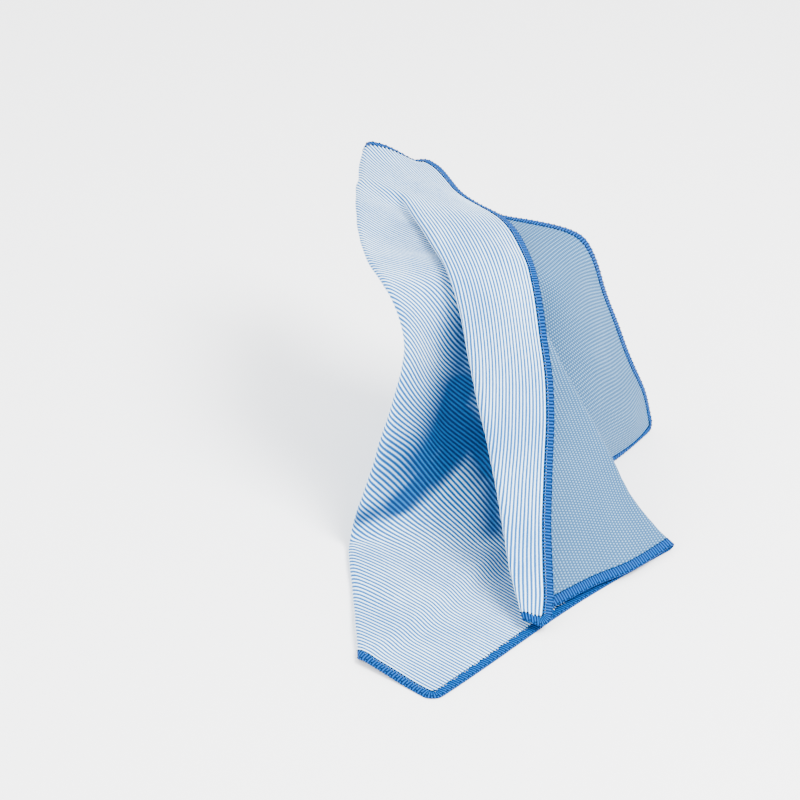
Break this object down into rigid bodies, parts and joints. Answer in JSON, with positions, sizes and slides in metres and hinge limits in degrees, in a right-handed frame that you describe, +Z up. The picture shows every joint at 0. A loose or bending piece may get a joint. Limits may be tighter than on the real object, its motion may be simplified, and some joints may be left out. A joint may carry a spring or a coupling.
{
  "type": "draped ribbed microfibre cleaning cloth",
  "caption": "Square ribbed microfibre cleaning cloth with an overlocked edge, folded over loosely and draped from a raised top down to the floor.",
  "frame": {"origin": "middle of the drape's footprint, on the surface that it lies on", "axes": "+Z up, -Y towards the picture's viewer, +X to that viewer's right"},
  "size_m": [0.2358, 0.4163, 0.1745],
  "materials": {
    "ribbed_cloth": "satin ribbed microfibre",
    "edging_thread": "satin stitched thread"
  },
  "bodies": {
    "root": {"cloth_panel": "ribbed_cloth", "overlock_edging": "edging_thread"}
  },
  "joints": []
}
